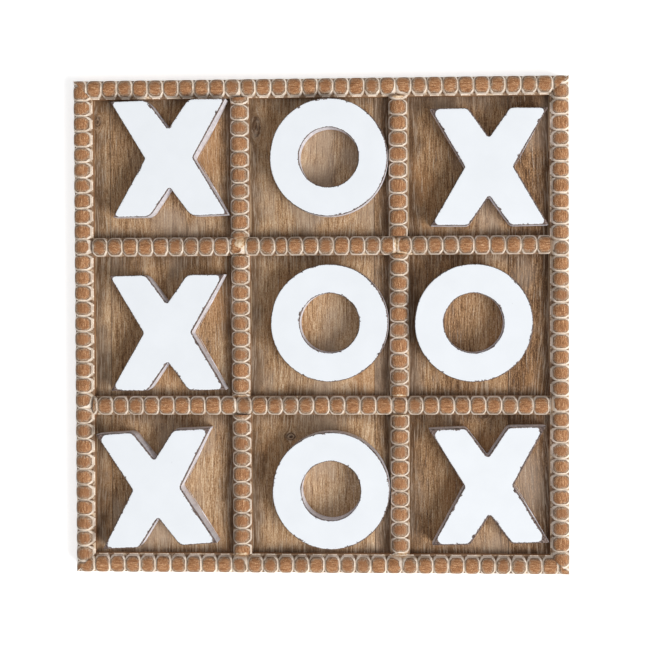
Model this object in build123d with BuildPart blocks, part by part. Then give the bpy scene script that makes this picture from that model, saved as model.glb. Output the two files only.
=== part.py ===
from build123d import *
from math import cos, sin, radians
import os

os.makedirs("parts", exist_ok=True)

# Tic tac toe set: a square plank board with a mitred frame and a grid of beaded rails,
# and nine loose cut-out letters, five X and four O, one lying in each cell.
# Millimetres, +Z up, origin at the middle of the board's underside.

# ---------------------------------------------------------------- board
BOARD = 355.6            # outer side of the square board
HALF = BOARD / 2
FLOOR_T = 9.5            # thickness of the plank floor
PLANK_W = 96.0           # face width of a whole plank
FIRST_SEAM = -153.0      # x of the first edge joint, counted from the left
ARRIS = 0.35             # bevel planed on the long edges of each plank

# ---------------------------------------------------------------- beaded rails
RAIL_W = 13.4            # width of every rail
HALF_W = RAIL_W / 2
RAIL_H = 12.7            # height of every rail above the floor
LEDGE_H = 6.1            # straight base below the half-round beads
AXIS_Z = FLOOR_T + LEDGE_H
CROWN_R = RAIL_H - LEDGE_H   # largest radius of a bead
GROOVE_R = 5.05          # radius at the bottom of the groove between two beads
SHOULDER = 2.0           # length of the rounded end of a bead
SHOULDER_R = 6.4         # radius where the rounded end meets the crown
BULGE_X = 0.83           # middle point of the rounded end, along the rail
BULGE_R = 5.95           # and its radius
PLANED = 0.7             # how far the frame's beads sit outward, planed off flush
INNER = HALF - RAIL_W    # inner face of the frame
FRAME_CENTRE = HALF - HALF_W

UPPER_Y = 57.8           # centre line of the upper through divider
LOWER_Y = -56.9          # centre line of the lower through divider

# ---------------------------------------------------------------- brads
SHANK_R = 0.65
SHANK_FREE_R = 0.72      # hole through the planks
HEAD_R = 1.3
HEAD_T = 0.6
HEAD_Z = 0.5             # heads are sunk this far into the underside
BITE = 4.5               # depth driven into a rail

# ---------------------------------------------------------------- letters
LETTER_T = 19.05         # thickness of the letter stock
LETTER_TOP = FLOOR_T + LETTER_T
TIP_X = 41.6             # outer tip of an X arm
TIP_Y = 41.4
TOE_X = 14.7             # inner tip of an X arm
TOE_Y = 41.8
CROTCH_Y = 21.2          # upper and lower notch
CROTCH_X = 17.5          # side notch
TOE_R = 2.5              # rounding of the inner tips
CROTCH_R = 1.0           # rounding at the bottom of each notch
RING_R = 42.0            # outside of an O
RING_HOLE_R = 21.1       # hole of an O
EASE = 0.6               # eased top and bottom edges


def grooves(first, pitch, count):
    """Positions of a run of grooves along a rail."""
    return [first + pitch * step for step in range(count)]


def covering(marks, low, high):
    """The grooves needed to fill low..high with whole beads, cut to length later."""
    below = [m for m in marks if m <= low]
    above = [m for m in marks if m >= high]
    inside = [m for m in marks if low < m < high]
    return below[-1:] + inside + above[:1]


def bead_face(marks):
    """Half outline of a bead chain: shoulder, crown and shoulder for each bead."""
    start, end = marks[0], marks[-1]
    with BuildSketch() as face:
        with BuildLine():
            Line((start, 0), (start, GROOVE_R))
            for a, b in zip(marks[:-1], marks[1:]):
                middle = (a + b) / 2
                ThreePointArc((a, GROOVE_R), (a + BULGE_X, BULGE_R), (a + SHOULDER, SHOULDER_R))
                ThreePointArc((a + SHOULDER, SHOULDER_R), (middle, CROWN_R), (b - SHOULDER, SHOULDER_R))
                ThreePointArc((b - SHOULDER, SHOULDER_R), (b - BULGE_X, BULGE_R), (b, GROOVE_R))
            Line((end, GROOVE_R), (end, 0))
            Line((end, 0), (start, 0))
        make_face()
    return face.sketch


def straight_plan(along, across, low, high):
    """Plan of a straight rail, as corners."""
    near, far = across - HALF_W, across + HALF_W
    corners = [(low, near), (high, near), (high, far), (low, far)]
    return corners if along == "x" else [(y, x) for x, y in corners]


def mitred_plan(along, side):
    """Plan of a frame rail with both ends cut at 45 degrees."""
    out, inside = side * HALF, side * INNER
    corners = [(-HALF, out), (HALF, out), (INNER, inside), (-INNER, inside)]
    return corners if along == "x" else [(y, x) for x, y in corners]


# ---------------------------------------------------------------- where the brads go
ROW_X = [-159.0, -105.0, -9.0, 87.0, 156.0]
SIDE_Y = [-114.0, 0.0, 114.0]
SPREAD = 34.0            # brads of a short divider, each side of its middle
OFF_SEAM = 3.0           # and this far off its centre line, clear of the plank joint

# short divider segments: name, centre line x, lower end, upper end, a groove, groove pitch
SEGMENTS = [
    ("divider_left_upper", -57.5, UPPER_Y + HALF_W, INNER, 69.4, 11.25),
    ("divider_left_middle", -57.3, LOWER_Y + HALF_W, UPPER_Y - HALF_W, -48.0, 11.19),
    ("divider_left_lower", -56.9, -INNER, LOWER_Y - HALF_W, -156.5, 11.15),
    ("divider_right_upper", 56.4, UPPER_Y + HALF_W, INNER, 61.3, 11.19),
    ("divider_right_middle", 56.9, LOWER_Y + HALF_W, UPPER_Y - HALF_W, -52.8, 11.15),
    ("divider_right_lower", 57.1, -INNER, LOWER_Y - HALF_W, -162.7, 11.13),
]


def segment_brads(x, low, high):
    middle = (low + high) / 2
    return [(x + OFF_SEAM, middle - SPREAD), (x + OFF_SEAM, middle + SPREAD)]


THROUGH_BRADS = {y: [(x, y) for x in ROW_X] for y in (FRAME_CENTRE, UPPER_Y, LOWER_Y, -FRAME_CENTRE)}
SIDE_BRADS = {x: [(x, y) for y in SIDE_Y] for x in (-FRAME_CENTRE, FRAME_CENTRE)}
BRADS = []
for points in THROUGH_BRADS.values():
    BRADS += points
for points in SIDE_BRADS.values():
    BRADS += points
for name, x, low, high, first, pitch in SEGMENTS:
    BRADS += segment_brads(x, low, high)

# ---------------------------------------------------------------- plank floor
SEAMS = [-HALF] + grooves(FIRST_SEAM, PLANK_W, 4) + [HALF]
PLANK_NAMES = ["floor_plank_1", "floor_plank_2", "floor_plank_3", "floor_plank_4", "floor_plank_5"]

for name, left, right in zip(PLANK_NAMES, SEAMS[:-1], SEAMS[1:]):
    here = [(x, y) for x, y in BRADS if left < x < right]
    with BuildPart() as plank:
        with BuildSketch(Plane.XY):
            with Locations(((left + right) / 2, 0)):
                Rectangle(right - left, BOARD)
        extrude(amount=FLOOR_T)
        long_edges = plank.edges().filter_by(Axis.Y)
        chamfer(long_edges, length=ARRIS)
        with BuildSketch(Plane.XY):
            with Locations(*here):
                Circle(SHANK_FREE_R)
        extrude(amount=FLOOR_T, mode=Mode.SUBTRACT)
        with BuildSketch(Plane.XY):
            with Locations(*here):
                Circle(HEAD_R)
        extrude(amount=HEAD_Z + HEAD_T, mode=Mode.SUBTRACT)
    plank.part.label = name
    export_step(plank.part, f"parts/{name}.step")

# ---------------------------------------------------------------- rails
# each rail: name, direction, line of its beads, plan corners, grooves, brads
RAILS = []
BEADS = 35

# frame rails: name, direction, side of the board, a groove near the low end, groove pitch
FRAME = [
    ("frame_rail_top", "x", 1, -179.1, 11.137),
    ("frame_rail_bottom", "x", -1, -186.5, 11.125),
    ("frame_rail_left", "y", -1, -180.6, 11.093),
    ("frame_rail_right", "y", 1, -183.5, 11.11),
]
for name, along, side, first, pitch in FRAME:
    centre = side * FRAME_CENTRE
    marks = covering(grooves(first, pitch, BEADS), -HALF, HALF)
    brads = THROUGH_BRADS[centre] if along == "x" else SIDE_BRADS[centre]
    RAILS.append((name, along, centre + side * PLANED, mitred_plan(along, side), marks, brads))

# through dividers: the upper one has a short bead where its two runs of beads meet
THROUGH = [
    ("divider_upper", UPPER_Y, grooves(-175.65, 11.05, 14) + grooves(-23.1, 11.13, 18)),
    ("divider_lower", LOWER_Y, grooves(-172.6, 11.2, 32)),
]
for name, y, run in THROUGH:
    marks = covering(run, -INNER, INNER)
    RAILS.append((name, "x", y, straight_plan("x", y, -INNER, INNER), marks, THROUGH_BRADS[y]))

# short dividers, butted between the through dividers and the frame
for name, x, low, high, first, pitch in SEGMENTS:
    marks = covering(grooves(first - pitch, pitch, BEADS), low, high)
    RAILS.append((name, "y", x, straight_plan("y", x, low, high), marks, segment_brads(x, low, high)))

for name, along, line, plan, marks, brads in RAILS:
    origin = (0, line, AXIS_Z) if along == "x" else (line, 0, AXIS_Z)
    direction = (1, 0, 0) if along == "x" else (0, 1, 0)
    bead_plane = Plane(origin, x_dir=direction, z_dir=(0, 0, 1))
    with BuildPart() as rail:
        with BuildSketch(bead_plane):
            add(bead_face(marks))
        revolve(axis=Axis(origin, direction), revolution_arc=180)
        with BuildSketch(Plane.XY.offset(FLOOR_T)):
            Polygon(*plan, align=None)
        extrude(amount=LEDGE_H)
        with BuildSketch(Plane.XY.offset(FLOOR_T)):
            Polygon(*plan, align=None)
        extrude(amount=RAIL_H + HALF_W, mode=Mode.INTERSECT)
        with BuildSketch(Plane.XY.offset(FLOOR_T)):
            with Locations(*brads):
                Circle(SHANK_R)
        extrude(amount=BITE, mode=Mode.SUBTRACT)
    rail.part.label = name
    export_step(rail.part, f"parts/{name}.step")

# ---------------------------------------------------------------- brads, driven from below
with BuildPart() as floor_brads:
    with BuildSketch(Plane.XY.offset(HEAD_Z)):
        with Locations(*BRADS):
            Circle(HEAD_R)
    extrude(amount=HEAD_T)
    with BuildSketch(Plane.XY.offset(HEAD_Z + HEAD_T)):
        with Locations(*BRADS):
            Circle(SHANK_R)
    extrude(amount=FLOOR_T + BITE - HEAD_Z - HEAD_T)
floor_brads.part.label = "floor_brads"
export_step(floor_brads.part, "parts/floor_brads.step")

# ---------------------------------------------------------------- letters
# corners of the letter X, clockwise from the upper left
X_CORNERS = [
    (-TIP_X, TIP_Y), (-TOE_X, TOE_Y), (0, CROTCH_Y), (TOE_X, TOE_Y), (TIP_X, TIP_Y), (CROTCH_X, 0),
    (TIP_X, -TIP_Y), (TOE_X, -TOE_Y), (0, -CROTCH_Y), (-TOE_X, -TOE_Y), (-TIP_X, -TIP_Y), (-CROTCH_X, 0),
]

# name, centre x, centre y, turn in degrees
X_PIECES = [
    ("x_piece_top_left", -106.9, 120.9, 1.0),
    ("x_piece_top_right", 121.0, 112.7, 0.1),
    ("x_piece_middle_left", -108.8, -4.0, 0.5),
    ("x_piece_bottom_left", -117.5, -116.0, 3.3),
    ("x_piece_bottom_right", 120.2, -113.3, 1.6),
]

O_PIECES = [
    ("o_piece_top_middle", 7.3, 120.5),
    ("o_piece_centre", 7.4, 2.6),
    ("o_piece_middle_right", 109.9, 2.3),
    ("o_piece_bottom_middle", 8.0, -117.2),
]


for name, x, y, angle in X_PIECES:
    across = (cos(radians(angle)), sin(radians(angle)), 0)
    with BuildPart() as letter:
        with BuildSketch(Plane((x, y, FLOOR_T), x_dir=across, z_dir=(0, 0, 1))) as outline:
            Polygon(*X_CORNERS, align=None)
            corners = outline.vertices()
            toes = [v for v in corners if abs(abs(v.X) - TOE_X) < EASE]
            notches = [v for v in corners if min(abs(v.X), abs(v.Y)) < EASE]
            fillet(toes, radius=TOE_R)
            fillet(notches, radius=CROTCH_R)
        extrude(amount=LETTER_T)
        flat_faces = letter.faces().filter_by(Axis.Z)
        chamfer(flat_faces.edges(), length=EASE)
    letter.part.label = name
    export_step(letter.part, f"parts/{name}.step")

for name, x, y in O_PIECES:
    with BuildPart() as letter:
        with BuildSketch(Plane.XY.offset(FLOOR_T)):
            with Locations((x, y)):
                Circle(RING_R)
                Circle(RING_HOLE_R, mode=Mode.SUBTRACT)
        extrude(amount=LETTER_T)
        flat_faces = letter.faces().filter_by(Axis.Z)
        fillet(flat_faces.edges(), radius=EASE)
    letter.part.label = name
    export_step(letter.part, f"parts/{name}.step")

print("parts written:", len(os.listdir("parts")))
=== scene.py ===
import math
import random

import bpy
from mathutils import Euler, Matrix, Vector, geometry, noise


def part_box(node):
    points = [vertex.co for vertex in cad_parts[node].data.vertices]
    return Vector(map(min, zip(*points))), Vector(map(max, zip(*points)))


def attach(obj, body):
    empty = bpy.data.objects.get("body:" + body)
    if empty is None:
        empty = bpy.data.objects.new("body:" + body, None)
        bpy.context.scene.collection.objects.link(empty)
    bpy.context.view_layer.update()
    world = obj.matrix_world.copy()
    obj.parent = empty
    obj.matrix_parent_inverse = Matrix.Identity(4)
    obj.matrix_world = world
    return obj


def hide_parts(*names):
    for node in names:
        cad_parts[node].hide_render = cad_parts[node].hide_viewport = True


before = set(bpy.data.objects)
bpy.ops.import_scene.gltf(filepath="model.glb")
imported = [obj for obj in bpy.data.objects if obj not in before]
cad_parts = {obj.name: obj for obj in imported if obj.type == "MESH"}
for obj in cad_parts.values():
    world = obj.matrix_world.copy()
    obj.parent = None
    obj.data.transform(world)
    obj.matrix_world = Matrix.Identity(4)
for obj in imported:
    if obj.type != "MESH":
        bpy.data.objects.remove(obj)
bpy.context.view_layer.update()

# Everything below is worked out in millimetres and written to the meshes in metres.
MM = 0.001
FLOOR = 9.5              # top of the plank floor
LEDGE = 6.1              # straight base of a rail
AXIS = FLOOR + LEDGE     # height of the line the beads are turned about
HALF_W = 6.7             # half the width of a rail
CROWN = 6.6              # radius at the middle of a bead
GROOVE = 4.95            # radius at the bottom of a groove
SHOULDER = 6.35          # radius where the groove ends
SHOULDER_L = 2.2         # distance of that place from the bottom of the groove
PLANED = 0.7             # how far a frame rail's beads sit outward
ARC = 24                 # steps round a half-round bead
HALF = 177.8             # half the side of the board
INNER = HALF - 2 * HALF_W
ZONE = INNER - 1.0       # where the stretch cut by the mitre begins
HALF_BEAD = 5.55         # half the usual spacing of the grooves
ACROSS_X = (-57.2, 56.8)  # where the short dividers stand, left and right
ACROSS_Y = (57.8, -56.9)  # where the through dividers lie, upper and lower


def smooth(low, high, x):
    t = min(1.0, max(0.0, (x - low) / (high - low)))
    return t * t * (3 - 2 * t)


def wobble(x, y, z, scale):
    """Smooth noise from -1 to 1, with features about `scale` millimetres wide."""
    return noise.noise(Vector((x / scale, y / scale, z / scale)))


# ---------------------------------------------------------------- meshes
def make_object(name, verts, faces, attributes, material):
    """A smooth-shaded mesh, made in millimetres, with its values per point and its material."""
    mesh = bpy.data.meshes.new(name)
    mesh.from_pydata([(x * MM, y * MM, z * MM) for x, y, z in verts], [], faces)
    for key, values in attributes.items():
        if isinstance(values[0], tuple):
            layer = mesh.attributes.new(key, "FLOAT_VECTOR", "POINT")
            layer.data.foreach_set("vector", [c for v in values for c in v])
        else:
            layer = mesh.attributes.new(key, "FLOAT", "POINT")
            layer.data.foreach_set("value", values)
    mesh.materials.append(material)
    mesh.validate()
    mesh.update()
    obj = bpy.data.objects.new(name, mesh)
    bpy.context.scene.collection.objects.link(obj)
    mesh.shade_smooth()
    mesh.set_sharp_from_angle(angle=math.radians(38))
    return obj


# ---------------------------------------------------------------- node materials
class Surface:
    """A material built node by node around one Principled shader."""

    def __init__(self, name):
        self.material = bpy.data.materials.new(name)
        self.material.use_nodes = True
        self.tree = self.material.node_tree
        self.tree.nodes.clear()
        self.shader = self.tree.nodes.new("ShaderNodeBsdfPrincipled")
        output = self.tree.nodes.new("ShaderNodeOutputMaterial")
        self.tree.links.new(self.shader.outputs[0], output.inputs[0])

    def put(self, socket, value):
        if hasattr(value, "is_linked"):
            self.tree.links.new(value, socket)
        else:
            socket.default_value = value

    def math(self, operation, a, b=0.0, c=0.0, clamp=False):
        node = self.tree.nodes.new("ShaderNodeMath")
        node.operation = operation
        node.use_clamp = clamp
        for socket, value in zip(node.inputs, (a, b, c)):
            self.put(socket, value)
        return node.outputs[0]

    def step(self, x, low, high, out_low=0.0, out_high=1.0):
        node = self.tree.nodes.new("ShaderNodeMapRange")
        node.interpolation_type = "SMOOTHSTEP"
        for socket, value in zip(node.inputs, (x, low, high, out_low, out_high)):
            self.put(socket, value)
        return node.outputs[0]

    def mix(self, factor, a, b, kind="MIX"):
        node = self.tree.nodes.new("ShaderNodeMix")
        node.data_type = "RGBA"
        node.blend_type = kind
        self.put(node.inputs[0], factor)
        self.put(node.inputs[6], a if hasattr(a, "is_linked") else (*a, 1.0))
        self.put(node.inputs[7], b if hasattr(b, "is_linked") else (*b, 1.0))
        return node.outputs[2]

    def attribute(self, name, vector=False):
        node = self.tree.nodes.new("ShaderNodeAttribute")
        node.attribute_name = name
        return node.outputs["Vector"] if vector else node.outputs["Fac"]

    def object_mm(self):
        node = self.tree.nodes.new("ShaderNodeTexCoord")
        return self.scaled(node.outputs["Object"], (1000, 1000, 1000))

    def scaled(self, vector, scale, shift=(0, 0, 0)):
        node = self.tree.nodes.new("ShaderNodeMapping")
        self.put(node.inputs["Vector"], vector)
        node.inputs["Scale"].default_value = scale
        node.inputs["Location"].default_value = shift
        return node.outputs[0]

    def noise(self, vector, scale=1.0, detail=3.0, roughness=0.55, distortion=0.0):
        node = self.tree.nodes.new("ShaderNodeTexNoise")
        self.put(node.inputs["Vector"], vector)
        node.inputs["Scale"].default_value = scale
        node.inputs["Detail"].default_value = detail
        node.inputs["Roughness"].default_value = roughness
        node.inputs["Distortion"].default_value = distortion
        return node.outputs["Fac"]

    def ramp(self, factor, stops):
        node = self.tree.nodes.new("ShaderNodeValToRGB")
        self.put(node.inputs[0], factor)
        elements = node.color_ramp.elements
        while len(elements) < len(stops):
            elements.new(0.5)
        for element, (position, color) in zip(elements, stops):
            element.position = position
            element.color = (*color, 1.0)
        return node.outputs[0]

    def split(self, vector):
        node = self.tree.nodes.new("ShaderNodeSeparateXYZ")
        self.put(node.inputs[0], vector)
        return node.outputs

    def join(self, x, y, z):
        node = self.tree.nodes.new("ShaderNodeCombineXYZ")
        for socket, value in zip(node.inputs, (x, y, z)):
            self.put(socket, value)
        return node.outputs[0]

    def centred(self, x, amount):
        """A 0 to 1 noise turned into plus or minus half of `amount`."""
        return self.math("MULTIPLY_ADD", x, amount, -amount / 2)

    def bump(self, height, distance, strength=1.0, normal=None):
        node = self.tree.nodes.new("ShaderNodeBump")
        node.inputs["Strength"].default_value = strength
        node.inputs["Distance"].default_value = distance
        self.put(node.inputs["Height"], height)
        if normal is not None:
            self.put(node.inputs["Normal"], normal)
        return node.outputs[0]

    def finish(self, color, roughness, normal=None, specular=0.3):
        self.put(self.shader.inputs["Base Color"], color)
        self.put(self.shader.inputs["Roughness"], roughness)
        self.shader.inputs["Specular IOR Level"].default_value = specular
        if normal is not None:
            self.put(self.shader.inputs["Normal"], normal)
        return self.material


def srgb(r, g, b):
    """A colour given as it looks on screen, 0 to 255, as linear light."""
    return tuple(((c / 255 + 0.055) / 1.055) ** 2.4 if c > 10 else c / 255 / 12.92 for c in (r, g, b))


def crown_color(s, place, groove, side, tone, blotch, ragged, fine, grain):
    """Brown stain rubbed back in the middle of a bead, greyed towards its edge, with a few dark pits."""
    along = s.math("MAXIMUM", s.math("MULTIPLY_ADD", groove, -1 / HALF_BEAD, 1.0), 0.0)
    across = s.math("MAXIMUM", s.math("MULTIPLY_ADD", side, -1 / CROWN, 1.0), 0.0)
    out = s.math("ADD", s.math("POWER", along, 2.6), s.math("POWER", across, 3.2))
    out = s.math("POWER", out, 1 / 2.9)
    for texture, amount in ((blotch, 0.60), (ragged, 0.55), (tone, 0.20)):
        out = s.math("ADD", out, s.centred(texture, amount))
    rubbed = s.ramp(s.math("MULTIPLY_ADD", grain, 0.5, s.math("MULTIPLY", fine, 0.5)), [
        (0.37, srgb(100, 65, 41)), (0.45, srgb(144, 97, 61)),
        (0.53, srgb(173, 122, 82)), (0.62, srgb(220, 180, 140))])
    rubbed = s.mix(s.step(tone, 0.35, 1.0, 0.0, 0.5), rubbed, srgb(144, 100, 68))
    halo = s.ramp(s.math("MULTIPLY_ADD", ragged, 0.5, s.math("MULTIPLY", fine, 0.5)), [
        (0.37, srgb(104, 79, 58)), (0.48, srgb(148, 122, 98)), (0.60, srgb(200, 179, 157))])
    color = s.mix(s.step(out, 0.54, 0.92), rubbed, halo)
    pit = s.step(s.noise(s.scaled(place, (0.7, 1.5, 1.5)), 1.0, 2.0, 0.6), 0.60, 0.68)
    return s.mix(s.math("MULTIPLY", pit, 0.65), color, srgb(88, 60, 41))


def bead_outline(s, groove, side, extra, tone, blotch, ragged):
    """Distance to the whitewashed outline of a bead, whether a point is outside it, and whether on the ledge.

    The outline cuts across the bead's corners, where the groove runs out to the ledge.
    """
    inner = s.math("MAXIMUM", side, 0.0)
    corner = s.math("ADD", s.math("ADD", groove, inner), s.centred(blotch, 1.2))
    corner = s.math("MULTIPLY", corner, 0.707)
    corner = s.math("SUBTRACT", corner, s.math("MULTIPLY_ADD", tone, 0.5, 1.55))
    outside = s.step(corner, -0.10, 0.02, 1.0, 0.0)
    inside_line = s.math("MINIMUM", s.math("MINIMUM", groove, s.math("ABSOLUTE", side)), corner)
    near = s.mix(outside, s.join(inside_line, 0, 0), s.join(s.math("ABSOLUTE", corner), 0, 0))
    near = s.split(near)[0]
    on_ledge = s.step(side, -0.22, -0.06, 1.0, 0.0)
    near = s.math("ADD", near, s.math("MULTIPLY", s.math("MULTIPLY", on_ledge, outside), 3.0))
    near = s.math("ADD", near, s.centred(ragged, 0.7))
    near = s.math("SUBTRACT", near, s.math("MULTIPLY", extra, 2.2))
    return near, outside, on_ledge


def rail_material():
    """Stained beads with rubbed crowns, whitewash left in their grooves, on a plain stained base."""
    s = Surface("rail_wood_rubbed")
    place = s.attribute("place", vector=True)
    groove = s.attribute("groove")
    side = s.attribute("side")
    wall = s.attribute("wall")
    extra = s.attribute("cream")
    tone = s.attribute("tone")
    blotch = s.noise(place, 0.30, 3.0, 0.6)
    ragged = s.noise(place, 0.9, 3.0, 0.65)
    fine = s.noise(place, 2.4, 2.0, 0.6)
    grain = s.noise(s.scaled(place, (0.22, 1.5, 1.5)), 1.0, 4.0, 0.65, 0.3)
    color = crown_color(s, place, groove, side, tone, blotch, ragged, fine, grain)
    near, outside, on_ledge = bead_outline(s, groove, side, extra, tone, blotch, ragged)
    # a darker band just inside the whitewash: stain gathered there, and painted shade on the bead's side
    # where it turns down
    shade = s.math("MULTIPLY", s.step(near, 0.45, 0.8), s.step(near, 0.95, 1.6, 1.0, 0.0))
    shade = s.math("MULTIPLY", shade, s.step(blotch, 0.44, 0.56))
    color = s.mix(s.math("MULTIPLY", shade, 0.70), color, srgb(100, 74, 54))
    # little triangles left between the corners, and the flat of the ledge
    stain = s.noise(s.scaled(place, (0.06, 0.9, 0.9)), 1.0, 4.0, 0.65)
    base = s.ramp(stain, [(0.34, srgb(112, 78, 52)), (0.50, srgb(156, 115, 80)), (0.66, srgb(192, 152, 114))])
    pale = s.math("ADD", s.noise(place, 0.22, 3.0, 0.6), s.math("MULTIPLY", extra, 0.45))
    pale = s.step(pale, 0.55, 0.66)
    triangle = s.mix(pale, srgb(140, 112, 88), srgb(210, 188, 162))
    color = s.mix(s.math("MULTIPLY", outside, s.step(near, 0.3, 0.6)), color, triangle)
    ledge = s.mix(s.math("MULTIPLY", pale, 0.6), base, srgb(206, 180, 150))
    color = s.mix(s.math("MULTIPLY", on_ledge, s.math("SUBTRACT", 1.0, outside)), color, ledge)
    # the whitewash itself, fainter in places
    cream = s.ramp(fine, [(0.3, srgb(218, 199, 178)), (0.7, srgb(248, 238, 226))])
    faint = s.step(s.noise(place, 0.16, 2.0, 0.5), 0.40, 0.56, 0.62, 1.0)
    color = s.mix(s.math("MULTIPLY", s.step(near, 0.32, 0.72, 1.0, 0.0), faint), color, cream)
    # the straight base below the beads, dusty at its foot
    dust = s.math("MULTIPLY", s.step(wall, 5.0, 5.9), s.step(blotch, 0.44, 0.60))
    foot = s.mix(s.math("MULTIPLY", dust, 0.65), base, srgb(206, 182, 152))
    color = s.mix(s.step(wall, 0.05, 0.5), color, foot)
    relief = s.math("MULTIPLY_ADD", grain, 0.6, s.math("MULTIPLY", fine, 0.4))
    normal = s.bump(relief, 0.0003, 0.8)
    return s.finish(color, s.step(near, 0.3, 1.6, 0.88, 0.66), normal, 0.2)


def filler_material():
    """Pale putty pressed into the joints."""
    s = Surface("joint_putty")
    place = s.object_mm()
    mottle = s.noise(place, 0.5, 4.0, 0.65)
    color = s.ramp(mottle, [
        (0.34, srgb(176, 138, 100)), (0.46, srgb(210, 178, 142)), (0.60, srgb(238, 218, 190))])
    normal = s.bump(s.noise(place, 1.6, 3.0, 0.6), 0.0002, 0.6)
    return s.finish(color, s.step(mottle, 0.3, 0.7, 0.75, 0.9), normal, 0.2)


def knot_marks(s, place, x, y, grain_x, knots):
    """Grain bent round each knot, the knots' dark rings, and the greyed rim round them."""
    dark, rim = 0.0, 0.0
    for knot_x, knot_y, wide, tall in knots:
        dx = s.math("MULTIPLY_ADD", x, 1 / wide, -knot_x / wide)
        dy = s.math("MULTIPLY_ADD", y, 1 / tall, -knot_y / tall)
        far = s.math("SQRT", s.math("MULTIPLY_ADD", dx, dx, s.math("MULTIPLY", dy, dy)))
        far = s.math("ADD", far, s.centred(s.noise(place, 0.5, 3.0, 0.6), 0.9))
        push = s.math("MULTIPLY", dx, s.step(far, 0.5, 3.2, -3.5, 0.0))
        grain_x = s.math("ADD", grain_x, push)
        ring = s.step(s.math("SINE", s.math("MULTIPLY", far, 8.0)), -0.1, 0.7)
        ring = s.math("MAXIMUM", ring, s.step(far, 0.3, 0.5, 1.0, 0.0))
        ring = s.math("MULTIPLY", ring, s.step(far, 0.9, 1.3, 1.0, 0.0))
        dark = s.math("MAXIMUM", ring, dark)
        rim = s.math("MAXIMUM", s.step(far, 0.9, 1.7, 1.0, 0.0), rim)
    return grain_x, dark, rim


def wall_distance(s, value, middles):
    """How far `value` is from the nearest rail wall: the frame's inner face or a face of a divider."""
    near = s.math("ABSOLUTE", s.math("SUBTRACT", s.math("ABSOLUTE", value), INNER))
    for middle in middles:
        off = s.math("ABSOLUTE", s.math("SUBTRACT", value, middle))
        near = s.math("MINIMUM", near, s.math("ABSOLUTE", s.math("SUBTRACT", off, HALF_W)))
    return near


def rail_foot_shade_grime_and_wash(s, place, x, y, z, fibre, color):
    """Grime with painted shade darkening the floor close to each rail, and leftover whitewash where the top
    of the floor meets a rail.
    """
    near_x = wall_distance(s, x, ACROSS_X)
    near_y = wall_distance(s, y, ACROSS_Y)
    near = s.math("MINIMUM", near_x, s.math("ADD", near_y, 3.0))
    soft = s.noise(place, 0.07, 3.0, 0.6)
    on_top = s.step(z, FLOOR - 0.5, FLOOR - 0.2)
    # painted shade with grime: the top of the floor darkened close to each rail
    painted_shade_and_grime = s.step(s.math("ADD", near, s.centred(soft, 20.0)), 0.0, 13.0, 0.76, 0.0)
    color = s.mix(s.math("MULTIPLY", painted_shade_and_grime, on_top), color, srgb(84, 62, 44))
    wash = s.math("ADD", s.math("MINIMUM", near_x, near_y), s.centred(soft, 34.0))
    wash = s.math("MULTIPLY", s.step(wash, 1.0, 12.0, 1.0, 0.0), s.step(fibre, 0.50, 0.62))
    wash = s.math("MULTIPLY", wash, on_top)
    color = s.mix(s.math("MULTIPLY", wash, 0.55), color, srgb(186, 170, 152))
    patchy = s.step(s.noise(s.scaled(place, (0.02, 0.03, 0)), 1.0, 3.0, 0.6), 0.46, 0.56)
    line = s.math("MULTIPLY", s.step(near_x, 0.35, 1.0, 1.0, 0.0), patchy)
    line = s.math("MULTIPLY", line, on_top)
    return s.mix(s.math("MULTIPLY", line, 0.6), color, srgb(200, 176, 146))


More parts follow.
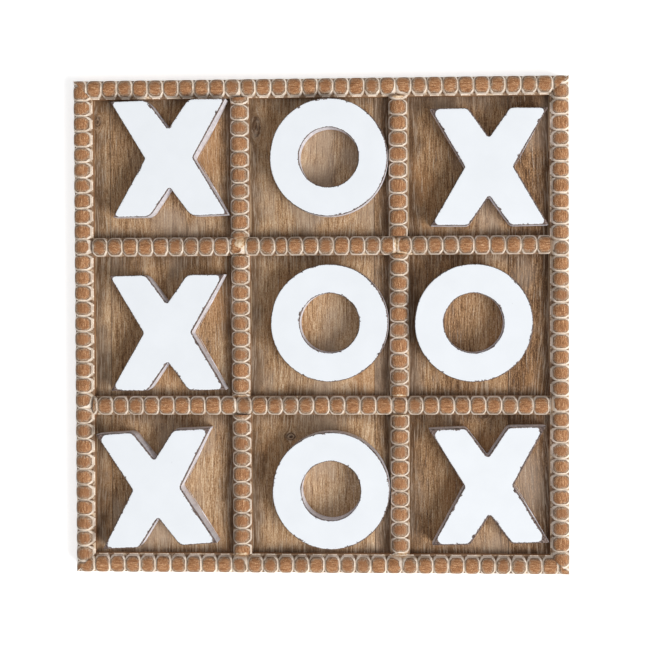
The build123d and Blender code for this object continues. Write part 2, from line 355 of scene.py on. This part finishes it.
def floor_material(name, left, right, shift, tone, knots):
    """Weathered brown plank: fine fibres up the board, grey in places, darker against the rails with grime
    and painted shade.
    """
    s = Surface(name)
    place = s.object_mm()
    x, y, z = s.split(place)
    # the grain wanders sideways along the plank
    drift = s.noise(s.scaled(place, (0.010, 0.0045, 0.02), shift), 1.0, 2.0, 0.5)
    grain_x = s.math("ADD", x, s.centred(drift, 22.0))
    grain_x, knot_dark, knot_rim = knot_marks(s, place, x, y, grain_x, knots)
    grain = s.scaled(s.join(grain_x, y, z), (1, 1, 1), shift)
    broad = s.noise(s.scaled(grain, (0.060, 0.007, 0.05)), 1.0, 3.0, 0.55)
    bands = s.noise(s.scaled(grain, (0.26, 0.009, 0.2)), 1.0, 4.0, 0.65)
    fibre = s.noise(s.scaled(grain, (1.15, 0.055, 1.0)), 1.0, 4.0, 0.70)
    hair = s.noise(s.scaled(grain, (2.2, 0.16, 2.0)), 1.0, 3.0, 0.70)
    speck = s.noise(s.scaled(grain, (1.9, 0.75, 2.0)), 1.0, 2.0, 0.6)
    level = s.math("ADD", s.centred(broad, 0.45), s.centred(bands, 0.42))
    for texture, amount in ((fibre, 1.15), (hair, 1.25), (speck, 0.95)):
        level = s.math("ADD", level, s.centred(texture, amount))
    level = s.math("ADD", level, 0.5 + tone)
    color = s.ramp(level, [
        (0.14, srgb(78, 54, 36)), (0.32, srgb(120, 88, 60)), (0.50, srgb(160, 125, 90)),
        (0.66, srgb(182, 150, 116)), (0.86, srgb(210, 186, 156))])
    # weathered grey areas and warmer ones
    patch = s.noise(s.scaled(place, (0.024, 0.013, 0.02), shift), 1.0, 3.0, 0.55)
    color = s.mix(s.step(patch, 0.50, 0.66, 0.0, 0.60), color, srgb(158, 140, 123))
    color = s.mix(s.step(patch, 0.30, 0.46, 0.32, 0.0), color, srgb(166, 118, 74))
    # pale dry fibres and dark open pores
    dry = s.step(s.noise(s.scaled(grain, (1.7, 0.045, 0.5)), 1.0, 3.0, 0.65), 0.58, 0.68)
    dry = s.math("MULTIPLY", dry, s.step(speck, 0.36, 0.56, 0.35, 1.0))
    color = s.mix(s.math("MULTIPLY", dry, 0.65), color, srgb(216, 200, 180))
    pore = s.step(s.noise(s.scaled(grain, (1.9, 0.040, 1.0)), 1.0, 2.0, 0.55), 0.60, 0.72)
    color = s.mix(s.math("MULTIPLY", pore, 0.60), color, srgb(70, 50, 35))
    color = s.mix(s.math("MULTIPLY", knot_rim, 0.5), color, srgb(140, 120, 104))
    color = s.mix(s.math("MULTIPLY", knot_dark, 0.85), color, srgb(62, 42, 32))
    # grime and painted shade against the rails, then leftover whitewash there
    color = rail_foot_shade_grime_and_wash(s, place, x, y, z, fibre, color)
    # dark joint lines between planks
    to_left = s.math("ABSOLUTE", s.math("SUBTRACT", x, left))
    to_right = s.math("ABSOLUTE", s.math("SUBTRACT", x, right))
    joint = s.math("ADD", s.math("MINIMUM", to_left, to_right), s.centred(s.noise(place, 0.2, 2.0, 0.5), 0.6))
    joint = s.step(joint, 0.15, 0.50, 1.0, 0.0)
    color = s.mix(s.math("MULTIPLY", joint, 0.5), color, srgb(66, 48, 36))
    relief = s.math("MULTIPLY_ADD", fibre, 0.6, s.math("MULTIPLY", hair, 0.4))
    relief = s.math("SUBTRACT", relief, s.math("MULTIPLY", pore, 0.4))
    normal = s.bump(relief, 0.0003, 0.7)
    return s.finish(color, s.step(fibre, 0.3, 0.7, 0.68, 0.9), normal, 0.15)


def paint_material():
    """Chalky white paint on the top face, thinner on the sawn sides and painted a little lighter and bluer
    there as painted light, worn to wood along the edges.
    """
    s = Surface("worn_white_paint")
    place = s.object_mm()
    edge = s.attribute("edge")
    down = s.attribute("down")
    chip = s.noise(place, 0.16, 4.0, 0.75)
    jag = s.noise(place, 0.9, 3.0, 0.7)
    # top face: a crisp, slightly ragged rim of bare wood, wider where it has chipped
    rim = s.math("ADD", edge, s.centred(jag, 1.15))
    rim = s.math("SUBTRACT", rim, s.step(chip, 0.55, 0.67, 0.0, 0.95))
    top_bare = s.step(rim, 0.40, 0.54, 1.0, 0.0)
    side_bare = s.math("ADD", down, s.centred(jag, 1.0))
    side_bare = s.math("SUBTRACT", side_bare, s.step(chip, 0.54, 0.66, 0.0, 1.2))
    side_bare = s.step(side_bare, 0.72, 0.92, 1.0, 0.0)
    on_side = s.step(down, 0.05, 0.35)
    bare = s.mix(on_side, s.join(top_bare, top_bare, top_bare), s.join(side_bare, side_bare, side_bare))
    bare = s.split(bare)[0]
    speck = s.step(s.noise(place, 0.42, 3.0, 0.6), 0.765, 0.785)
    bare = s.math("MAXIMUM", bare, speck)
    wood = s.ramp(jag, [
        (0.34, srgb(62, 50, 46)), (0.50, srgb(104, 88, 82)), (0.66, srgb(150, 132, 124))])
    cloud = s.noise(place, 0.05, 3.0, 0.5)
    white = s.ramp(cloud, [(0.3, srgb(231, 235, 240)), (0.7, srgb(235, 239, 244))])
    # the sawn sides: brush-marked paint set lighter and bluer than the face, painted light on them
    brush = s.noise(s.scaled(place, (0.5, 0.5, 0.05)), 1.0, 4.0, 0.6)
    sides = s.ramp(brush, [
        (0.34, srgb(220, 218, 226)), (0.52, srgb(238, 237, 244)), (0.66, srgb(246, 246, 251))])
    white = s.mix(s.step(down, 0.1, 0.6), white, sides)
    scuffed = s.step(s.noise(place, 0.30, 4.0, 0.7), 0.60, 0.72)
    scuffed = s.math("MULTIPLY", scuffed, s.step(down, 0.5, 2.0))
    white = s.mix(s.math("MULTIPLY", scuffed, 0.35), white, srgb(168, 154, 148))
    color = s.mix(bare, white, wood)
    height = s.math("SUBTRACT", s.math("MULTIPLY", s.noise(place, 0.8, 4.0, 0.6), 0.2), bare)
    normal = s.bump(height, 0.00018, 0.7)
    return s.finish(color, s.math("MULTIPLY_ADD", bare, 0.2, 0.6), normal, 0.25)


def ground_material():
    """Plain pale studio floor that glows a little, so it stays white."""
    s = Surface("studio_floor")
    place = s.object_mm()
    cloud = s.noise(place, 0.004, 2.0, 0.5)
    s.shader.inputs["Emission Color"].default_value = (1.0, 1.0, 1.0, 1.0)
    s.shader.inputs["Emission Strength"].default_value = 0.55
    color = s.ramp(cloud, [(0.3, (0.93, 0.93, 0.93)), (0.7, (0.95, 0.95, 0.95))])
    return s.finish(color, 0.9, None, 0.0)


def brad_material():
    """Bright steel with light scuffs."""
    s = Surface("bright_brad_steel")
    place = s.object_mm()
    scuff = s.noise(place, 3.0, 3.0, 0.6)
    s.shader.inputs["Metallic"].default_value = 1.0
    color = s.ramp(scuff, [(0.3, (0.32, 0.32, 0.33)), (0.7, (0.58, 0.58, 0.6))])
    return s.finish(color, s.step(scuff, 0.3, 0.7, 0.3, 0.5))


RAIL = rail_material()
PUTTY = filler_material()
PAINT = paint_material()


# ---------------------------------------------------------------- beaded rails
def run(first, pitch, count):
    return [first + pitch * i for i in range(count)]


# name, direction, outward side of a frame rail or 0, grooves
RAILS = [
    ("frame_rail_top", "x", 1, run(-179.1, 11.137, 35)),
    ("frame_rail_bottom", "x", -1, run(-186.5, 11.125, 35)),
    ("frame_rail_left", "y", -1, run(-180.6, 11.093, 35)),
    ("frame_rail_right", "y", 1, run(-183.5, 11.11, 35)),
    ("divider_upper", "x", 0, run(-175.65, 11.05, 14) + run(-23.1, 11.13, 18)),
    ("divider_lower", "x", 0, run(-172.6, 11.2, 32)),
    ("divider_left_upper", "y", 0, run(58.15, 11.25, 12)),
    ("divider_left_middle", "y", 0, run(-59.19, 11.19, 12)),
    ("divider_left_lower", "y", 0, run(-167.65, 11.15, 12)),
    ("divider_right_upper", "y", 0, run(50.11, 11.19, 12)),
    ("divider_right_middle", "y", 0, run(-63.95, 11.15, 12)),
    ("divider_right_lower", "y", 0, run(-173.83, 11.13, 12)),
]


# how much wider the whitewash lines are on each frame rail, and on a divider
WASH = {"frame_rail_right": 0.14, "frame_rail_left": 0.10, "frame_rail_top": 0.08, "frame_rail_bottom": 0.10}
DIVIDER_WASH = 0.05


class Rail:
    """A rail's own measures, from its CAD box, and the height of its surface anywhere."""

    def __init__(self, index, name, along, side, grooves):
        low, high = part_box(name)
        lo, hi = [c / MM for c in low], [c / MM for c in high]
        self.name, self.along, self.side, self.grooves = name, along, side, grooves
        a, b = (0, 1) if along == "x" else (1, 0)
        self.start, self.end = lo[a], hi[a]
        self.centre = (lo[b] + hi[b]) / 2
        self.offset = PLANED * side
        self.seed = index * 37.0
        self.wash = WASH.get(name, DIVIDER_WASH)
        rng = random.Random(index + 11)
        self.skew = [rng.uniform(-0.30, 0.30) for _ in grooves]
        self.size = [rng.uniform(-0.10, 0.02) for _ in grooves]
        self.tone = [rng.random() for _ in grooves]

    def bead(self, u):
        """Bead number, distance from its nearer groove, and how far along it, 0 to 1."""
        for i in range(len(self.grooves) - 1):
            a, b = self.grooves[i], self.grooves[i + 1]
            if a <= u <= b:
                return i, min(u - a, b - u), (u - a) / (b - a)
        return 0, 0.0, 0.0

    def radius(self, u):
        i, d, _ = self.bead(u)
        half = (self.grooves[i + 1] - self.grooves[i]) / 2
        if d < SHOULDER_L:
            k = 1 - (1 - d / SHOULDER_L) ** 2.1
            return GROOVE + (SHOULDER - GROOVE) * k ** 0.72
        rise = 1 - ((half - d) / max(0.1, half - SHOULDER_L)) ** 2
        return SHOULDER + (CROWN + self.size[i] - SHOULDER) * rise

    def height(self, u, y):
        """Height of the rail's top at `u` along it and `y` across from its centre line."""
        r, across = self.radius(u), y - self.offset
        if abs(across) < r and abs(y) <= HALF_W:
            return AXIS + math.sqrt(r * r - across * across)
        return AXIS if abs(y) <= HALF_W else FLOOR

    def point(self, u, y, z):
        return (u, self.centre + y, z) if self.along == "x" else (self.centre + y, u, z)

    def stations(self):
        near = (0.0, 0.14, 0.34, 0.62, 1.0, 1.55, 2.2)
        marks = []
        for a, b in zip(self.grooves[:-1], self.grooves[1:]):
            marks += [a + d for d in near]
            span = b - a - 2 * SHOULDER_L
            marks += [a + SHOULDER_L + span * k / 5 for k in range(1, 5)]
            marks += [b - d for d in reversed(near[1:])]
        if self.side:
            marks = [m for m in marks if abs(m) < ZONE]
            marks += [sign * (ZONE + 0.45 * k) for sign in (-1, 1) for k in range(int((HALF - ZONE) / 0.45))]
        marks = sorted(m for m in marks if self.start < m < self.end)
        marks = [m for m in marks if m - self.start > 0.05 and self.end - m > 0.05]
        return [self.start] + marks + [self.end]


# middle, reach and strength of each patch of extra whitewash round a joint
SMEARS = [
    (-57.5, 58.0, 9.0, 0.75), (56.7, 57.8, 8.0, 0.7), (-57.0, -56.9, 8.0, 0.22), (57.0, -57.0, 8.0, 0.30),
    (56.4, 167.0, 6.5, 0.6), (-57.5, 167.0, 5.0, 0.25), (-56.9, -167.0, 6.5, 0.55), (57.1, -167.0, 6.5, 0.6),
    (-167.0, 57.8, 5.5, 0.5), (-167.0, -56.9, 5.5, 0.5), (167.0, 57.8, 5.0, 0.45), (167.0, -56.9, 5.0, 0.45),
]


def cream_near(rail, u, y):
    """How much extra whitewash lies at a place on a rail."""
    board_x, board_y, _ = rail.point(u, y, 0)
    amount = 0.0
    for middle_x, middle_y, reach, strength in SMEARS:
        far = math.hypot(board_x - middle_x, board_y - middle_y) / reach
        far += 0.25 * wobble(board_x, board_y, 3.0, 2.5)
        amount = max(amount, strength * (1 - smooth(0.45, 1.0, far)))
    return amount


def cross_section(rail, u):
    """Points round the rail at `u`: across, height, depth below the ledge, and the angle if on a bead."""
    r = rail.radius(u)
    points = [(-HALF_W, FLOOR, LEDGE, None), (-HALF_W, FLOOR + 2.0, LEDGE - 2.0, None),
              (-HALF_W, AXIS - 0.9, 0.9, None), (-HALF_W, AXIS - 0.03, 0.03, None)]
    points.append((max(-HALF_W + 0.01, rail.offset - r - 0.02), AXIS - 0.012, 0.0, None))
    for k in range(ARC + 1):
        points.append((0, 0, 0.0, math.pi * (1 - k / ARC)))
    points.append((min(HALF_W - 0.01, rail.offset + r + 0.02), AXIS - 0.012, 0.0, None))
    points += [(HALF_W, AXIS - 0.03, 0.03, None), (HALF_W, AXIS - 0.9, 0.9, None),
               (HALF_W, FLOOR + 2.0, LEDGE - 2.0, None), (HALF_W, FLOOR, LEDGE, None)]
    return points


def bead_point(rail, u, angle):
    """A point on a bead, with grooves leaning a little and small hand-rubbed hollows."""
    if rail.side:
        u = mitre(rail, u, rail.offset + rail.radius(u) * math.cos(angle))
    i, _, t = rail.bead(u)
    r = rail.radius(u)
    y = rail.offset + r * math.cos(angle)
    z = AXIS + r * math.sin(angle)
    margin = 16.0 if rail.side else 1.0
    if rail.start + margin < u < rail.end - margin:
        lean = (1 - t) * rail.skew[i] + t * rail.skew[min(i + 1, len(rail.skew) - 1)]
        u += lean * y / HALF_W
    bite = 0.12 * wobble(u + rail.seed, y, z, 3.0) + 0.06 * wobble(u + rail.seed, y + 40, z, 1.2)
    y -= max(0.0, bite) * math.cos(angle)
    z -= abs(bite) * math.sin(angle)
    return u, max(-HALF_W, min(HALF_W, y)), z


def mitre(rail, u, y):
    """Where a point of the last stretch of a frame rail lies, drawn in behind the 45 degree cut."""
    if abs(u) <= ZONE:
        return u
    limit = HALF - (HALF_W - y * rail.side)
    share = (abs(u) - ZONE) / (HALF - ZONE)
    return math.copysign(ZONE + share * (limit - ZONE), u)


def build_rail(rail):
    """A closed skin: bottom, base wall, ledge, half-round beads, ledge and base wall again."""
    verts = []
    attributes = {"place": [], "groove": [], "side": [], "wall": [], "cream": [], "tone": []}
    columns = rail.stations()
    for u0 in columns:
        for y, z, depth, angle in cross_section(rail, u0):
            u = u0
            if angle is not None:
                u, y, z = bead_point(rail, u0, angle)
            elif rail.side:
                u = mitre(rail, u0, y)
            station = u if abs(u0) > ZONE else u0
            i, d, _ = rail.bead(station)
            verts.append(rail.point(u, y, z))
            attributes["place"].append((u + rail.seed * 9, y, z - AXIS))
            attributes["groove"].append(min(d, HALF_BEAD))
            attributes["side"].append(rail.radius(station) - abs(y - rail.offset))
            attributes["wall"].append(depth)
            attributes["cream"].append(cream_near(rail, u, y) + rail.wash)
            attributes["tone"].append(rail.tone[i])
    n = len(verts) // len(columns)
    faces = []
    for c in range(len(columns) - 1):
        a, b = c * n, (c + 1) * n
        for k in range(n):
            q = (k + 1) % n
            faces.append((b + k, b + q, a + q, a + k))
    last = (len(columns) - 1) * n
    faces.append(tuple(range(n)))
    faces.append(tuple(last + k for k in reversed(range(n))))
    if rail.along == "y":
        faces = [tuple(reversed(f)) for f in faces]
    obj = make_object(rail.name + "_beaded", verts, faces, attributes, RAIL)
    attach(obj, "board")
    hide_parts(rail.name)


rails = {}
for index, (name, along, side, grooves) in enumerate(RAILS):
    rails[name] = Rail(index, name, along, side, grooves)
for rail in rails.values():
    build_rail(rail)


# ---------------------------------------------------------------- putty in the joints
SKIRT = 0.55             # how far the rim of a smear dips into the wood


def build_putty(name, through, butting, cx, cy, wide, tall, proud):
    """A thin smear that follows whichever rail is higher, thinning out to its rim."""
    step = 0.45
    nx, ny = max(4, int(wide / step)), max(4, int(tall / step))
    verts, faces = [], []
    for j in range(ny + 1):
        for i in range(nx + 1):
            x, y = cx + wide * (i / nx - 0.5), cy + tall * (j / ny - 0.5)
            z = AXIS - 0.3
            for rail in (through, butting):
                u, v = (x, y - rail.centre) if rail.along == "x" else (y, x - rail.centre)
                if rail.start <= u <= rail.end and abs(v) <= HALF_W:
                    z = max(z, rail.height(u, v))
            rim = math.hypot((x - cx) / (wide / 2), (y - cy) / (tall / 2))
            rim += 0.30 * wobble(x, y, 7.0, 2.2) + 0.14 * wobble(x, y, 31.0, 0.9)
            z += proud + 0.10 * wobble(x, y, 13.0, 1.3) - (proud + SKIRT) * smooth(0.62, 1.0, rim)
            verts.append((x, y, z))
    count = len(verts)
    verts += [(x, y, z - 1.2) for x, y, z in verts]
    w = nx + 1
    for j in range(ny):
        for i in range(nx):
            a = j * w + i
            faces.append((a, a + 1, a + w + 1, a + w))
            faces.append((count + a + w, count + a + w + 1, count + a + 1, count + a))
    rim = [i for i in range(w)] + [j * w + nx for j in range(1, ny + 1)]
    rim += [ny * w + i for i in range(nx - 1, -1, -1)] + [j * w for j in range(ny - 1, 0, -1)]
    for a, b in zip(rim, rim[1:] + rim[:1]):
        faces.append((b, a, count + a, count + b))
    obj = make_object(name, verts, faces, {}, PUTTY)
    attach(obj, "board")


# name, through rail, butting rail, middle of the smear, its size, how proud it stands
SMEARED = [
    ("upper_left_star", "divider_upper", "divider_left_upper", (-56.6, 60.6), (9.5, 11.5), 0.30),
    ("upper_left_foot", "divider_upper", "divider_left_middle", (-57.0, 51.6), (11.5, 2.6), 0.22),
    ("upper_right_band", "divider_upper", "divider_right_upper", (55.4, 60.0), (4.2, 12.5), 0.28),
    ("upper_right_arch", "divider_upper", "divider_right_middle", (56.9, 52.4), (12.0, 2.6), 0.30),
    ("lower_left_head", "divider_lower", "divider_left_middle", (-57.3, -50.0), (12.5, 2.4), 0.20),
    ("lower_right_head", "divider_lower", "divider_right_middle", (56.9, -49.9), (13.0, 3.0), 0.25),
    ("lower_right_foot", "divider_lower", "divider_right_lower", (57.1, -63.7), (12.5, 2.0), 0.20),
    ("top_right", "frame_rail_top", "divider_right_upper", (56.4, 164.2), (9.5, 4.6), 0.25),
    ("bottom_left", "frame_rail_bottom", "divider_left_lower", (-56.9, -164.4), (12.0, 4.4), 0.25),
    ("bottom_right", "frame_rail_bottom", "divider_right_lower", (57.1, -164.4), (12.0, 4.6), 0.28),
]
for name, through, butting, middle, size, proud in SMEARED:
    build_putty("putty_" + name, rails[through], rails[butting], *middle, *size, proud)


# ---------------------------------------------------------------- letters
OUTER = 42.0             # radius of an O
HOLE = 21.1
# depth below a letter's face, and how far in the eased edge is there
EASED = ((0.0, 0.66), (0.08, 0.36), (0.28, 0.13), (0.6, 0.02))


def edges_at(points, k):
    """Directions of the edges into and out of point `k`, the first one's inward normal, and the mitre."""
    a, p, b = points[k - 1], points[k], points[(k + 1) % len(points)]
    d1, d2 = (p - a).normalized(), (b - p).normalized()
    n1, n2 = Vector((-d1.y, d1.x)), Vector((-d2.y, d2.x))
    return d1, d2, n1, n1 + n2


def outline_inset(points, amount):
    """Each outline point moved inward along the mitre of its two neighbours."""
    moved = []
    for k, p in enumerate(points):
        _, _, n1, mitred = edges_at(points, k)
        mitred /= max(0.35, mitred.dot(n1))
        moved.append(p + mitred * amount)
    return moved


def segment_distance(p, a, b):
    d = b - a
    t = max(0.0, min(1.0, (p - a).dot(d) / d.length_squared))
    return (p - a - d * t).length


def x_outline(cx, cy, turn):
    """The twelve corners of the letter, counter-clockwise."""
    tip, toe, crotch, waist = (41.6, 41.4), (14.7, 41.8), 21.2, 17.5
    corners = [(waist, 0), tip, toe, (0, crotch), (-toe[0], toe[1]), (-tip[0], tip[1])]
    corners += [(-waist, 0), (-tip[0], -tip[1]), (-toe[0], -toe[1]), (0, -crotch)]
    corners += [(toe[0], -toe[1]), (tip[0], -tip[1])]
    c, s = math.cos(math.radians(turn)), math.sin(math.radians(turn))
    return [Vector((cx + x * c - y * s, cy + x * s + y * c)) for x, y in corners]


def rounded(corners, cuts, steps):
    """The outline with each corner replaced by a short curve that starts `cut` before it."""
    points = []
    n = len(corners)
    for k in range(n):
        a, p, b = corners[k - 1], corners[k], corners[(k + 1) % n]
        start, end = p + (a - p).normalized() * cuts[k], p + (b - p).normalized() * cuts[k]
        for i in range(steps + 1):
            t = i / steps
            points.append(start * (1 - t) ** 2 + p * (2 * t * (1 - t)) + end * t * t)
    return points


def inside(p, sides):
    """Whether a point is inside an outline, given as its sides."""
    hit = False
    for a, b in sides:
        if (a.y > p.y) != (b.y > p.y) and p.x < (b.x - a.x) * (p.y - a.y) / (b.y - a.y) + a.x:
            hit = not hit
    return hit


def worn_corners(corners, rounding, seed):
    """For each outward corner, the middle and radius of the round line that the paint is worn back to."""
    worn = []
    for k, p in enumerate(corners):
        d1, d2, n1, mitred = edges_at(corners, k)
        if d1.x * d2.y - d1.y * d2.x > 0:
            reach = rounding * (1 + 0.45 * wobble(k * 3.1, seed, 0.5, 1.0))
            worn.append((p + mitred / mitred.dot(n1) * reach, d1, d2, reach))
    return worn


def sawn_line(corners, seed):
    """Points about a millimetre apart along an outline, wandering a little as a saw does."""
    line = []
    for a, b in zip(corners, corners[1:] + corners[:1]):
        steps = max(1, int((b - a).length / 1.1))
        line += [a.lerp(b, i / steps) for i in range(steps)]
    shrunk = outline_inset(line, 0.12)
    return [p + (q - p) * (0.8 + wobble(p.x + seed, p.y, 0, 6.0)) for p, q in zip(line, shrunk)]


def face_grid(rim_points, sides):
    """Points over the face of a letter, in staggered rows, clear of its edge."""
    grid = []
    step = 1.0
    x0, x1 = min(p.x for p in rim_points), max(p.x for p in rim_points)
    y0, y1 = min(p.y for p in rim_points), max(p.y for p in rim_points)
    for j in range(int((y1 - y0) / step) + 1):
        for i in range(int((x1 - x0) / step) + 2):
            p = Vector((x0 + (i - 0.5 * (j % 2)) * step, y0 + j * step))
            if inside(p, sides) and min(segment_distance(p, a, b) for a, b in sides) > 1.4:
                grid.append(p)
    return grid


def worn_edge(p, sides, worn, strip, seed):
    """Distance from the bare edge of a letter's face, less where the paint is worn back further."""
    far, facing = min((segment_distance(p, a, b), (b - a).normalized().y) for a, b in sides)
    for centre, d1, d2, reach in worn:
        d = p - centre
        if d.dot(d1) > 0 and d.dot(d2) < 0:
            far = min(far, reach - d.length)
    return far - strip * (1 + 0.8 * wobble(p.x, p.y, seed, 14.0)) - 0.42 * smooth(0.1, 0.8, facing)


def build_x(name, cx, cy, turn, seed, strip, rounding, toe):
    """An X with a bare strip round its face, and paint worn back by `rounding` at the arm tips."""
    corners = x_outline(cx, cy, turn)
    low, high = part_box(name)
    bottom, top = low.z / MM, high.z / MM
    worn = worn_corners(corners, rounding, seed)
    corners = rounded(corners, [1.2, 0.5, toe, 1.2, toe, 0.5] * 2, 3)
    line = sawn_line(corners, seed)
    levels = [(bottom, 0.45), (bottom + 0.2, 0.12), (bottom + 0.5, 0.0), (bottom + 6, 0.0)]
    levels += [(top - 7, 0.0), (top - 2.5, 0.0), (top - 1.2, 0.0)]
    levels += [(top - depth, inset) for depth, inset in reversed(EASED)]
    verts, edge, down, faces = [], [], [], []
    m = len(line)
    for z, inset in levels:
        for p in outline_inset(line, inset):
            verts.append((p.x, p.y, z))
            edge.append(max(0.0, inset - 0.02))
            down.append(top - z)
    for level in range(len(levels) - 1):
        a, b = level * m, (level + 1) * m
        for k in range(m):
            q = (k + 1) % m
            faces.append((a + k, a + q, b + q, b + k))
    ring = [(k, (k + 1) % m) for k in range(m)]
    foot = [Vector(verts[k][:2]) for k in range(m)]
    for f in geometry.delaunay_2d_cdt(foot, ring, [], 1, 1e-6)[2]:
        faces.append(tuple(reversed(f)))
    rim = (len(levels) - 1) * m
    rim_points = [Vector(verts[rim + k][:2]) for k in range(m)]
    sides = list(zip(corners, corners[1:] + corners[:1]))
    flat = rim_points + face_grid(rim_points, sides)
    points, _, triangles, origins, _, _ = geometry.delaunay_2d_cdt(flat, ring, [], 1, 1e-6)
    index = {}
    for k, origin in enumerate(origins):
        if origin and origin[0] < m:
            index[k] = rim + origin[0]
        else:
            index[k] = len(verts)
            verts.append((points[k].x, points[k].y, top))
            edge.append(0.0)
            down.append(0.0)
    for f in triangles:
        faces.append(tuple(index[k] for k in f))
    for k, (x, y, z) in enumerate(verts):
        if top - z <= 0.7:
            edge[k] = worn_edge(Vector((x, y)), sides, worn, strip, seed)
    obj = make_object(name + "_painted", verts, faces, {"edge": edge, "down": down}, PAINT)
    finish_letter(obj, name)


def ring_section(bottom, top):
    """Points round the section of an O: radius, height, and distance from its nearer edge."""
    width = OUTER - HOLE
    section = [(OUTER - i, bottom + d, i) for d, i in EASED]
    section += [(OUTER, z, 0.0) for z in (bottom + 6, top - 7, top - 2.5, top - 1.2)]
    section += [(OUTER - i, top - d, i) for d, i in reversed(EASED)]
    section += [(OUTER - i, top, i) for i in (1.0, 1.5, 2.2, 3.2, 5.0, 8.0, width / 2)]
    section += [(HOLE + i, top, i) for i in (8.0, 5.0, 3.2, 2.2, 1.5, 1.0)]
    section += [(HOLE + i, top - d, i) for d, i in EASED]
    section += [(HOLE, z, 0.0) for z in (top - 1.2, top - 2.5, top - 7, bottom + 6)]
    section += [(HOLE + i, bottom + d, i) for d, i in reversed(EASED)]
    return section


def build_o(name, seed):
    """An O whose two edges waver slightly, as if cut by hand, with its paint worn along them."""
    low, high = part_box(name)
    cx, cy = (low.x + high.x) / 2 / MM, (low.y + high.y) / 2 / MM
    top = high.z / MM
    section = ring_section(low.z / MM, top)
    turns = 220
    verts, edge, down, faces = [], [], [], []
    n = len(section)
    for t in range(turns):
        angle = 2 * math.pi * t / turns
        c, s = math.cos(angle), math.sin(angle)
        waver = 0.06 + 0.06 * noise.noise(Vector((c * 2.1, s * 2.1, seed)))
        waver += 0.04 * noise.noise(Vector((c * 7, s * 7, seed)))
        patchy = 0.42 * wobble(c * 30, s * 30, seed, 12.0)
        for r, z, inset in section:
            share = (r - HOLE) / (OUTER - HOLE)
            radius = r - waver * share + waver * (1 - share)
            facing = c if share > 0.5 else -c
            verts.append((cx + radius * c, cy + radius * s, z))
            edge.append(inset + 0.05 - patchy - 0.30 * smooth(0.1, 0.8, facing))
            down.append(top - z)
    for t in range(turns):
        a, b = t * n, ((t + 1) % turns) * n
        for k in range(n):
            q = (k + 1) % n
            faces.append((a + k, b + k, b + q, a + q))
    obj = make_object(name + "_painted", verts, faces, {"edge": edge, "down": down}, PAINT)
    finish_letter(obj, name)


def finish_letter(obj, name):
    """Sets a letter on its own body in place of its CAD node."""
    body = name.replace("_piece", "")
    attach(obj, body)
    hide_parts(name)


# name, middle, turn in degrees, seed, bare strip, worn rounding, cut at the toes
build_x("x_piece_top_left", -106.9, 120.9, 1.0, 1.0, 0.06, 2.4, 4.2)
build_x("x_piece_top_right", 121.0, 112.7, 0.1, 2.0, 0.22, 3.8, 2.6)
build_x("x_piece_middle_left", -108.8, -4.0, 0.5, 3.0, 0.20, 3.4, 3.4)
build_x("x_piece_bottom_left", -117.5, -116.0, 3.3, 4.0, 0.28, 3.8, 3.0)
build_x("x_piece_bottom_right", 120.2, -113.3, 1.6, 5.0, 0.55, 4.6, 2.6)
build_o("o_piece_top_middle", 6.0)
build_o("o_piece_centre", 7.0)
build_o("o_piece_middle_right", 8.0)
build_o("o_piece_bottom_middle", 9.0)

# ---------------------------------------------------------------- planks and brads keep their CAD shape
# middle, half width and half height of each knot
KNOTS = [
    (-162.0, 149.0, 2.2, 3.4), (-46.0, 144.0, 2.6, 6.5),
    (-22.0, -80.0, 3.2, 2.4), (117.0, -65.0, 3.0, 1.6),
]
# joints between planks, and the two sides of the board
SEAMS = [-HALF, -153.0, -57.0, 39.0, 135.0, HALF]
# shift of the grain and lightness, plank by plank
PLANK_LOOK = [
    ((3.1, 9.7, 0), 0.10), ((6.3, -4.4, 0), 0.02), ((14.5, 3.3, 0), 0.07),
    ((21.5, 21.0, 0), -0.03), ((33.3, -12.0, 0), -0.17),
]
for number, (shift, tone) in enumerate(PLANK_LOOK, 1):
    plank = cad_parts[f"floor_plank_{number}"]
    left, right = SEAMS[number - 1], SEAMS[number]
    near_knots = [knot for knot in KNOTS if left - 6 < knot[0] < right + 6]
    look = floor_material(f"weathered_plank_{number}", left, right, shift, tone, near_knots)
    for slot in plank.material_slots:
        slot.material = look
BRAD = brad_material()
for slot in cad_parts["floor_brads"].material_slots:
    slot.material = BRAD

# ---------------------------------------------------------------- studio
ground_mesh = bpy.data.meshes.new("studio_ground")
ground_corners = [(x, y, -0.0002) for x, y in ((-3, -3), (3, -3), (3, 3), (-3, 3))]
ground_mesh.from_pydata(ground_corners, [], [(0, 1, 2, 3)])
ground_mesh.materials.append(ground_material())
ground = bpy.data.objects.new("studio_ground", ground_mesh)
bpy.context.scene.collection.objects.link(ground)

camera_data = bpy.data.cameras.new("camera")
camera_data.sensor_width = 36.0
camera_data.lens = 88.92
camera = bpy.data.objects.new("camera", camera_data)
camera.location = (0.07340, 0.02369, 1.1687)
camera.rotation_euler = Euler((math.radians(-1.1439), math.radians(3.4641), math.radians(-0.2576)), "XYZ")
bpy.context.scene.collection.objects.link(camera)
bpy.context.scene.camera = camera


def area_light(name, place, target, size, power, color):
    """A square soft light turned towards `target`."""
    data = bpy.data.lights.new(name, "AREA")
    data.shape = "SQUARE"
    data.size = size
    data.energy = power
    data.color = color
    light = bpy.data.objects.new(name, data)
    light.location = place
    light.rotation_euler = (Vector(target) - Vector(place)).to_track_quat("-Z", "Y").to_euler()
    bpy.context.scene.collection.objects.link(light)


area_light("key", (4.0, -2.7, 4.7), (0, 0, 0), 3.3, 476.0, (1.0, 0.99, 0.975))
area_light("top", (0.0, 0.2, 3.8), (0, 0, 0), 2.6, 34.0, (0.98, 0.985, 1.0))

world = bpy.data.worlds.new("studio")
world.use_nodes = True
world.node_tree.nodes["Background"].inputs["Color"].default_value = (0.96, 0.98, 1.0, 1.0)
world.node_tree.nodes["Background"].inputs["Strength"].default_value = 0.17
bpy.context.scene.world = world
bpy.context.scene.view_settings.view_transform = "Standard"
bpy.context.scene.view_settings.look = "None"
